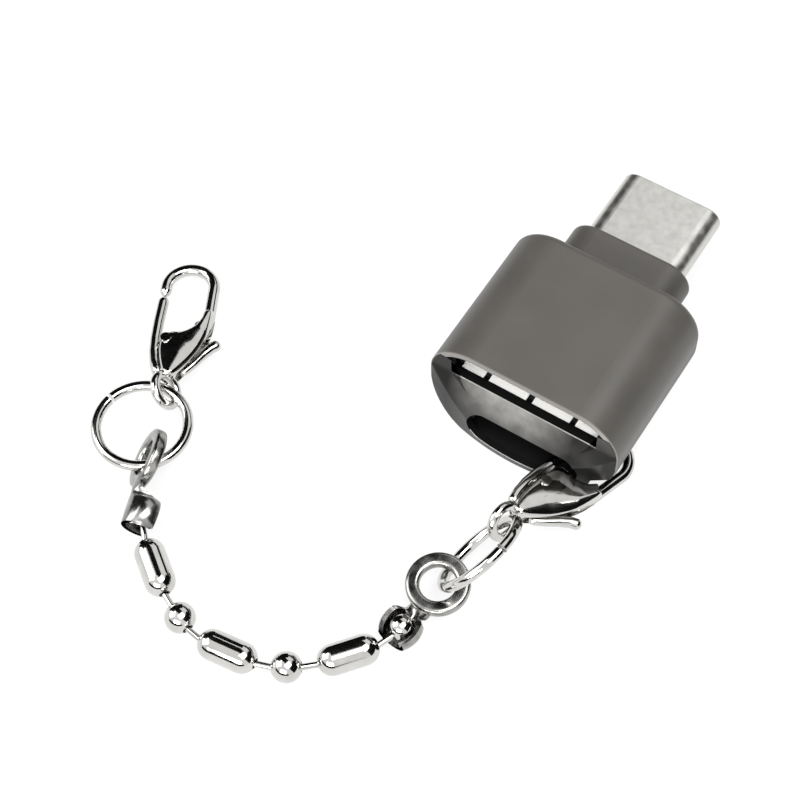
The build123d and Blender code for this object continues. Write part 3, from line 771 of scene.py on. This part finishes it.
@dataclass
class Clasp:
    """Sprung hook clasp: a cast body of two cheeks, neck, eye and hook, and the lever between the cheeks.

    Its own x runs from the eye to the hook's end, and its z is the axis that the lever turns about.
    """

    number: int
    lie: Lie
    fill: float = 0.0
    slot_half: float = 0.5
    thickness_half: float = 1.0
    corners: tuple[tuple[float, float], ...] = (
        (0.95, 0.3), (2.4, 0.8), (3.8, 0.98), (4.65, 0.78), (5.0, 0.25), (5.05, -0.55), (5.5, -1.35),
        (6.2, -1.85), (7.0, -2.05), (7.1, -2.7), (6.0, -2.72), (4.7, -2.5), (3.3, -1.95), (2.0, -1.25),
        (0.95, -0.45),
    )
    loop_corners: tuple[int, int] = (3, 8)
    corner_steps: int = 12
    spine: tuple[tuple[float, float], ...] = (
        (1.2, -0.05), (3.3, -0.4), (4.3, -0.85), (5.4, -1.9), (6.7, -2.38),
    )
    spine_points: int = 80
    dome_rows: int = 18
    dome_powers: tuple[float, float] = (2.4, 0.62)
    hook_root: tuple[tuple[float, float], ...] = ((5.6, -2.1), (6.8, -2.38))
    hook_middle: tuple[float, float] = (9.6, -0.55)
    hook_radius: float = 1.85
    hook_tip: float = 8.75
    hook_wire: float = 0.45
    bend_points: int = 40
    hook_points: int = 90
    hook_end: int = 5
    neck_span: tuple[float, float] = (0.95, 2.0)
    neck_radii: tuple[float, float] = (0.5, 0.78)
    neck_rows: int = 14
    body_around: int = 24
    eye_radius: float = 1.2
    eye_wire: float = 0.36
    eye_turn: float = 35.0
    eye_points: tuple[int, int] = (21, 64)
    gate: tuple[tuple[float, float], ...] = (
        (1.3, 0.75), (2.3, 1.12), (3.4, 1.34), (4.6, 1.42), (6.2, 1.42), (8.62, 1.31),
    )
    gate_radius: float = 0.43
    gate_points: int = 60
    thumb: tuple[tuple[float, float], ...] = (
        (1.5, -0.95), (2.5, -1.75), (3.4, -2.35), (4.0, -2.85), (4.5, -3.5),
    )
    thumb_radii: tuple[float, float] = (0.3, 0.44)
    thumb_points: int = 40
    arm_end: int = 4
    web_share: float = 0.75
    web_shift: tuple[float, float] = (0.9, 0.05)
    web_half: float = 0.36

    def outline(self) -> np.ndarray:
        """Crescent outline: a closed cubic curve through the corners, each tangent along its two neighbours.

        The corners that face the hook's loop are moved into it by the fill, and the one before them by half.

        Returns:
            Closed loop of points in the clasp's plane.
        """
        knots = np.array(self.corners)
        first, last = self.loop_corners
        knots[first:last, 0] += self.fill
        knots[first - 1, 0] += self.fill / 2
        k0, k1, k2, k3 = (np.roll(knots, shift, axis=0)[:, None] for shift in (1, 0, -1, -2))
        s = np.linspace(0, 1, self.corner_steps, endpoint=False)[None, :, None]
        curve = 0.5 * (2 * k1 + (k2 - k0) * s + (2 * k0 - 5 * k1 + 4 * k2 - k3) * s ** 2
                       + (3 * k1 - k0 - 3 * k2 + k3) * s ** 3)
        return curve.reshape(-1, 2)

    def cheek(self, side: Cheek) -> np.ndarray:
        """Domed cheek: rings drawn in from the outline to a spine, with a superellipse as their height.

        Args:
            side: Which cheek.

        Returns:
            Grid of points, from the flat inner face out over the dome.
        """
        loop = self.outline()
        spine = along_path(np.array(self.spine), self.spine_points)
        core = spine[np.argmin(np.linalg.norm(loop[:, None] - spine[None], axis=2), axis=1)]
        share = np.sin(np.linspace(0, np.pi / 2, self.dome_rows))[::-1]
        inner_power, outer_power = self.dome_powers
        rise = (1 - share ** inner_power) ** outer_power
        rings = core[None] + (loop - core)[None] * share[:, None, None]
        height = self.slot_half + (self.thickness_half - self.slot_half) * rise
        heights = np.broadcast_to(height[:, None, None], (*rings.shape[:2], 1))
        dome = np.concatenate([rings, heights], axis=-1)
        whole = np.concatenate([at_height(core, self.slot_half)[None], dome])
        return whole * np.array([1.0, 1.0, side.value])

    def hook(self) -> np.ndarray:
        """Hook of round wire: straight from the shoulder, half round the end and back to the gate.

        Returns:
            Grid of points.
        """
        turn = np.linspace(-np.pi / 2, np.pi / 2, self.bend_points)
        bend = self.hook_middle + self.hook_radius * np.stack([np.cos(turn), np.sin(turn)], axis=-1)
        tip = (self.hook_tip, self.hook_middle[1] + self.hook_radius)
        corners = np.concatenate([self.hook_root, bend, [tip]])
        path = at_height(along_path(corners, self.hook_points))
        return tube(path, self.hook_wire * round_ends(self.hook_points, self.hook_end), self.body_around)

    def neck(self) -> np.ndarray:
        """Rounded neck between eye and cheeks: a tube along x whose radius swells evenly from the eye.

        Returns:
            Grid of points.
        """
        path = np.linspace(*self.neck_span, self.neck_rows)[:, None] * np.array([[1.0, 0.0, 0.0]])
        return tube(path, np.linspace(*self.neck_radii, self.neck_rows), self.body_around)

    def eye(self) -> np.ndarray:
        """Eye: a circle of round wire turned about an axis that is tipped up out of the clasp's plane.

        Returns:
            Grid of points.
        """
        tilt = math.radians(self.eye_turn)
        across = np.array([0.0, math.sin(tilt), math.cos(tilt)])
        axis = np.array([0.0, -math.cos(tilt), math.sin(tilt)])
        rows, columns = self.eye_points
        wire = np.linspace(0, 2 * np.pi, rows)[:, None, None]
        turn = np.linspace(0, 2 * np.pi, columns, endpoint=False)[None, :, None]
        out = np.cos(turn) * np.array([1.0, 0.0, 0.0]) + np.sin(turn) * across
        return (self.eye_radius + self.eye_wire * np.cos(wire)) * out + self.eye_wire * np.sin(wire) * axis

    def lever(self) -> list[np.ndarray]:
        """Lever in three parts: round gate along one flank, round thumb tab along the other, and the web.

        The web is the outline drawn in and moved towards the hook, as a band of the web's thickness.

        Returns:
            Grids of the gate, the tab and the web.
        """
        gate = at_height(along_path(np.array(self.gate), self.gate_points))
        thumb = at_height(along_path(np.array(self.thumb), self.thumb_points))
        flare = np.linspace(*self.thumb_radii, self.thumb_points)
        inset = self.outline() * self.web_share + np.array(self.web_shift)
        web = np.stack([at_height(inset, self.web_half), at_height(inset, -self.web_half)])
        return [tube(gate, self.gate_radius * round_ends(self.gate_points, self.arm_end)),
                tube(thumb, flare * round_ends(self.thumb_points, self.arm_end)), web]

    def build(self, dressing: NodeDressing) -> None:
        """Make the body and the lever, each as one piece in place of the plain one.

        Args:
            dressing: Gives the material.
        """
        name, nickel = f"clasp_{self.number}", dressing.material(BRIGHT_NICKEL)
        body = [*(self.cheek(side) for side in Cheek), self.hook(), self.neck(), self.eye()]
        casting = surface(f"{name}_casting", [(self.lie.place(grid), True) for grid in body], nickel, name)
        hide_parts(f"{name}_body")
        trigger = surface(f"{name}_trigger", [(self.lie.place(grid), True) for grid in self.lever()], nickel,
                          f"lever_{self.number}")
        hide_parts(f"{name}_lever")


@dataclass
class Connector:
    """Bead-tip connector: an eye folded double, a neck and a clam whose two wings curl round the last bead.

    Its own x runs from the middle of that bead to the eye, and its z is the eye's axis.
    """

    number: int
    lie: Lie
    eye_reach: float = 4.2
    eye_radius: float = 1.82
    eye_half_width: float = 0.5
    eye_half_height: float = 0.44
    eye_height: float = -0.92
    eye_power: int = 4
    eye_points: tuple[int, int] = (33, 72)
    base: float = -1.36
    sheet: float = 0.34
    clam_back: float = -1.2
    clam_reach: float = 1.7
    clam_half: float = 1.52
    clam_rise: float = 1.4
    clam_least: float = 0.06
    wing_turn: float = 118.0
    neck_from: float = 0.9
    neck_end: float = 2.6
    neck_half: float = 0.85
    neck_turn: float = 24.0
    blend_at: float = 1.35
    blend_over: float = 0.35
    clam_points: tuple[int, int] = (48, 31)

    def eye(self) -> np.ndarray:
        """Eye: a superellipse turned about the eye's axis.

        Returns:
            Grid of points.
        """
        rows, columns = self.eye_points
        wire = np.linspace(0, 2 * np.pi, rows)[:, None]
        turn = np.linspace(0, 2 * np.pi, columns, endpoint=False)[None, :]
        bulge = (np.cos(wire) ** self.eye_power + np.sin(wire) ** self.eye_power) ** (-1 / self.eye_power)
        radius = self.eye_radius + self.eye_half_width * bulge * np.cos(wire)
        rise = np.broadcast_to(self.eye_height + self.eye_half_height * bulge * np.sin(wire), (rows, columns))
        return np.stack([self.eye_reach + radius * np.cos(turn), radius * np.sin(turn), rise], axis=-1)

    def clam(self) -> np.ndarray:
        """Neck and clam: a sheet whose section is an arc of an ellipse, flat in the neck, curled in the clam.

        The half width follows an ellipse along the clam and blends into the neck, the arc's angle follows the
        same blend, and the sheet is closed by a second arc one thickness inside the first.

        Returns:
            Grid of sections along the connector.
        """
        rows, columns = self.clam_points
        along = np.linspace(self.clam_back, self.neck_end, rows)
        blend = 0.5 - 0.5 * np.tanh((along - self.blend_at) / self.blend_over)
        swell = np.clip(1 - (along / self.clam_reach) ** 2, self.clam_least, 1)
        round_half = self.clam_half * np.sqrt(swell)
        half = np.where(along < self.neck_from, round_half, np.maximum(round_half * blend, self.neck_half))
        limit = np.radians(self.neck_turn + (self.wing_turn - self.neck_turn) * blend)
        share = np.linspace(-1, 1, columns)
        turn = limit[:, None] * np.concatenate([share, share[::-1]])[None]
        inside = np.concatenate([np.zeros(columns), np.ones(columns)])[None] * self.sheet
        widest = np.sin(np.minimum(limit, np.pi / 2))[:, None]
        side = (half[:, None] / widest - inside) * np.sin(turn)
        rise = self.base + inside + (self.clam_rise - inside) * (1 - np.cos(turn))
        return np.stack([np.broadcast_to(along[:, None], side.shape), side, rise], axis=-1)

    def build(self, dressing: NodeDressing) -> None:
        """Make the connector as one piece in place of the plain one.

        Args:
            dressing: Gives the material.
        """
        name = f"connector_{self.number}"
        placed = [(self.lie.place(grid), True) for grid in (self.eye(), self.clam())]
        obj = surface(f"{name}_stamping", placed, dressing.material(STAMPED_NICKEL), f"{name}_unit")
        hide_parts(name)


@dataclass(frozen=True)
class BlackCard:
    """Black card that faces the object, seen only in mirrors: its middle and half sizes in metres."""

    name: str
    centre: tuple[float, float, float]
    half: tuple[float, float]

    def build(self, felt: bpy.types.Material) -> None:
        """Make the card.

        Args:
            felt: Its material.
        """
        middle = Vector(self.centre)
        away = middle.normalized()
        across = Vector((0, 0, 1)).cross(away).normalized() * self.half[0]
        up = away.cross(across).normalized() * self.half[1]
        corners = [tuple(middle + across * u + up * v) for u, v in ((-1, -1), (1, -1), (1, 1), (-1, 1))]
        mesh = bpy.data.meshes.new(self.name)
        mesh.from_pydata(corners, [], [(0, 1, 2, 3)])
        mesh.materials.append(felt)
        obj = bpy.data.objects.new(self.name, mesh)
        bpy.context.scene.collection.objects.link(obj)
        obj.visible_camera = False
        obj.visible_diffuse = False
        obj.visible_shadow = False
        obj.visible_transmission = False


@dataclass(frozen=True)
class Softbox:
    """Soft rectangular lamp aimed at the object, with its place and face in metres and its power in watts."""

    name: str
    place: tuple[float, float, float]
    face: tuple[float, float]
    power: float

    def build(self) -> None:
        """Make the lamp."""
        data = bpy.data.lights.new(self.name, "AREA")
        data.shape = "RECTANGLE"
        data.size, data.size_y = self.face
        data.energy = self.power
        obj = bpy.data.objects.new(self.name, data)
        obj.location = self.place
        obj.rotation_euler = (-Vector(self.place)).to_track_quat("-Z", "Y").to_euler()
        bpy.context.scene.collection.objects.link(obj)


@dataclass
class Studio:
    """Pale floor, white surroundings, soft lamps and black cards that only the bright metal mirrors."""

    floor_half: float = 1.5
    floor_drop: float = 0.00004
    floor_grey: float = 0.86
    floor_glow: float = 0.82
    ambient: float = 0.55
    felt_grey: float = 0.004
    cards: tuple[BlackCard, ...] = (
        BlackCard("black_card_0", (-0.11, 0.05, 0.05), (0.09, 0.07)),
        BlackCard("black_card_1", (0.10, 0.03, 0.05), (0.09, 0.07)),
        BlackCard("black_card_2", (-0.04, 0.008, 0.103), (0.032, 0.04)),
        BlackCard("black_card_3", (0.0, -0.15, 0.025), (0.13, 0.018)),
        BlackCard("black_card_4", (0.02, 0.17, 0.07), (0.11, 0.03)),
    )
    lamps: tuple[Softbox, ...] = (
        Softbox("key_softbox", (0.10, -0.02, 0.32), (0.26, 0.20), 1.0),
        Softbox("low_softbox", (0.05, -0.28, 0.15), (0.22, 0.12), 0.95),
        Softbox("fill_softbox", (-0.25, -0.12, 0.22), (0.24, 0.24), 0.7),
    )

    def build(self) -> None:
        """Make the world, floor, cards and lamps."""
        self.surroundings()
        self.floor()
        felt = self.felt()
        for card in self.cards:
            card.build(felt)
        for lamp in self.lamps:
            lamp.build()
        log.info("studio: floor, world, %d lamps and %d cards", len(self.lamps), len(self.cards))

    def seen_rays(self, tree: bpy.types.NodeTree) -> bpy.types.NodeSocket:
        """Value that is 1 for camera, glossy and transmitted rays and 0 for the rest.

        Args:
            tree: Node tree.

        Returns:
            Socket with the value.
        """
        path = add_node(tree, "ShaderNodeLightPath")
        first = add_node(tree, "ShaderNodeMath", {"operation": "MAXIMUM"}, i0=path.outputs["Is Camera Ray"],
                         i1=path.outputs["Is Glossy Ray"])
        both = add_node(tree, "ShaderNodeMath", {"operation": "MAXIMUM"}, i0=first.outputs[0],
                        i1=path.outputs["Is Transmission Ray"])
        return both.outputs[0]

    def surroundings(self) -> None:
        """White world as it is seen or mirrored, dimmer as a light."""
        world = bpy.data.worlds.new("white_surroundings")
        world.use_nodes = True
        tree = world.node_tree
        tree.nodes.clear()
        level = add_node(tree, "ShaderNodeMapRange", Value=self.seen_rays(tree), To_Min=self.ambient,
                         To_Max=1.0)
        glow = add_node(tree, "ShaderNodeBackground", Color=WHITE, Strength=level.outputs["Result"])
        add_node(tree, "ShaderNodeOutputWorld", Surface=glow.outputs[0])
        bpy.context.scene.world = world

    def floor(self) -> None:
        """Pale floor that reads as white and still takes the object's shadow."""
        half, low = self.floor_half, -self.floor_drop
        corners = np.array([[-half, -half, low], [half, -half, low], [half, half, low], [-half, half, low]])
        mesh = bpy.data.meshes.new("pale_floor")
        mesh.from_pydata(corners.tolist(), [], [(0, 1, 2, 3)])
        obj = bpy.data.objects.new("pale_floor", mesh)
        bpy.context.scene.collection.objects.link(obj)
        material, tree = blank_material("white_card")
        matt = add_node(tree, "ShaderNodeBsdfDiffuse", Color=(*[self.floor_grey] * 3, 1.0))
        glow = add_node(tree, "ShaderNodeEmission", Color=WHITE, Strength=1.0)
        share = add_node(tree, "ShaderNodeMapRange", Value=self.seen_rays(tree), To_Min=0.0,
                         To_Max=self.floor_glow)
        both = add_node(tree, "ShaderNodeMixShader", i0=share.outputs["Result"], i1=matt.outputs[0],
                        i2=glow.outputs[0])
        add_node(tree, "ShaderNodeOutputMaterial", Surface=both.outputs[0])
        mesh.materials.append(material)

    def felt(self) -> bpy.types.Material:
        """Black felt of the cards, which throws almost nothing back.

        Returns:
            The material.
        """
        material, tree = blank_material("black_felt")
        matt = add_node(tree, "ShaderNodeBsdfDiffuse", Color=(*[self.felt_grey] * 3, 1.0))
        add_node(tree, "ShaderNodeOutputMaterial", Surface=matt.outputs[0])
        return material


@dataclass
class PhotoCamera:
    """Camera at the photograph's viewing angle, on an orbit about the middle of the reader's near end."""

    middle_mm: tuple[float, float, float] = (0.0, -6.3, 4.29)
    azimuth: float = 34.24
    elevation: float = 59.25
    roll: float = -2.05
    distance_mm: float = 141.86
    aside_mm: float = 8.80
    above_mm: float = -1.18
    focal_px: float = 1972.5
    image_px: float = 800.0
    sensor_mm: float = 36.0
    clip_m: tuple[float, float] = (0.001, 10.0)

    def build(self) -> None:
        """Make the camera and set it as the scene's own."""
        a, e, r = (math.radians(v) for v in (self.azimuth, self.elevation, self.roll))
        back = Vector((math.sin(a) * math.cos(e), -math.cos(a) * math.cos(e), math.sin(e)))
        flat = Vector((math.cos(a), math.sin(a), 0))
        upward = flat.cross(-back)
        right = flat * math.cos(r) + upward * math.sin(r)
        top = upward * math.cos(r) - flat * math.sin(r)
        eye = Vector(self.middle_mm) + back * self.distance_mm - right * self.aside_mm - top * self.above_mm
        data = bpy.data.cameras.new("photo_camera")
        data.sensor_width = self.sensor_mm
        data.lens = self.focal_px / self.image_px * self.sensor_mm
        data.clip_start, data.clip_end = self.clip_m
        obj = bpy.data.objects.new("photo_camera", data)
        turn = Matrix((right, top, back)).transposed().to_4x4()
        obj.matrix_world = Matrix.Translation(eye * MM) @ turn
        bpy.context.scene.collection.objects.link(obj)
        bpy.context.scene.camera = obj


def main() -> None:
    """Dress the nodes, add the pieces, then the camera and the studio."""
    logging.basicConfig(level=logging.INFO, format="%(name)s: %(message)s")
    bpy.context.scene.view_settings.view_transform = "Standard"
    dressing = NodeDressing(NODE_FINISHES)
    dressing.dress()
    EndCap(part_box("housing")[0][1] / MM).build(dressing)
    ShieldStrips().build(dressing)
    # The hooked clasp's cheeks reach further into their loop, up against the lanyard bar.
    Clasp(1, Lie(joint_place("ring_1_swing"), 74.0, -8.2, 12.0), fill=1.25).build(dressing)
    Clasp(2, Lie(joint_place("clasp_2_swing"), 118.4, -4.2)).build(dressing)
    Connector(1, Lie(node_middle("end_ball_1"), 85.4, 7.0)).build(dressing)
    Connector(2, Lie(node_middle("end_ball_2"), 110.0, roll=120.0)).build(dressing)
    PhotoCamera().build()
    Studio().build()


if __name__ == "__main__":
    main()
